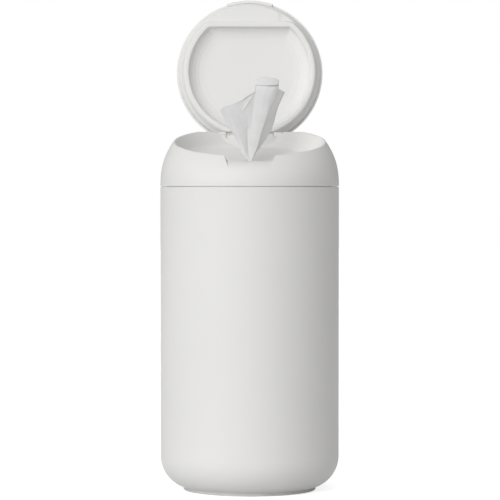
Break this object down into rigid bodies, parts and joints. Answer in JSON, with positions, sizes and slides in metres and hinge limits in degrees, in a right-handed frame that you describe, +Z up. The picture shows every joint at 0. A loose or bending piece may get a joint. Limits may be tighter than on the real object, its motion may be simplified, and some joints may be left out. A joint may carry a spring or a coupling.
{
  "type": "countertop wipes dispenser",
  "caption": "Round countertop canister for wet wipes with a rounded lift-off cap, a slanted dish with a centre valve, and a round flip lid standing open.",
  "frame": {"origin": "centre of the foot pad's underside, on the surface that the dispenser stands on", "axes": "+Z up along the canister, -Y the front with the finger notch, +X to the viewer's right"},
  "size_m": [0.11, 0.1272, 0.3058],
  "materials": {
    "shell_plastic": "fine matte off-white moulding",
    "cap_plastic": "fine matte off-white moulding",
    "lid_plastic": "fine matte off-white moulding",
    "inner_plastic": "plain off-white moulding, out of sight",
    "seal_silicone": "soft translucent white silicone",
    "foot_rubber": "matte pale grey non-slip pad",
    "wipe_fabric": "damp non-woven sheet",
    "ballast_steel": "plain steel disc",
    "screw_steel": "zinc-plated",
    "pin_steel": "drawn stainless wire"
  },
  "bodies": {
    "canister": {"canister_shell": "shell_plastic", "base_weight": "ballast_steel", "base_cover": "inner_plastic", "base_screws": "screw_steel", "foot_pad": "foot_rubber", "wipes_roll": "wipe_fabric"},
    "cap": {"cap_shell": "cap_plastic", "plug_ring": "inner_plastic", "cap_seal": "seal_silicone", "valve_frame": "cap_plastic", "valve": "seal_silicone", "valve_retainer": "inner_plastic", "valve_screws": "screw_steel", "hinge_pin": "pin_steel", "wipe_strand": "wipe_fabric", "wipe_tail": "wipe_fabric"},
    "lid": {"lid_cover": "lid_plastic", "lid_inner": "lid_plastic", "lid_seal": "seal_silicone"}
  },
  "joints": [
    {"name": "cap_lift", "type": "slide", "parent": "canister", "child": "cap", "axis": [0, 0, 1], "range_m": [0, 0.04]},
    {"name": "lid_hinge", "type": "hinge", "parent": "cap", "child": "lid", "pos_m": [0, 0.0445, 0.2165], "axis": [1, 0, 0], "range_deg": [0, 110], "deforming": ["wipe_tail"]}
  ]
}
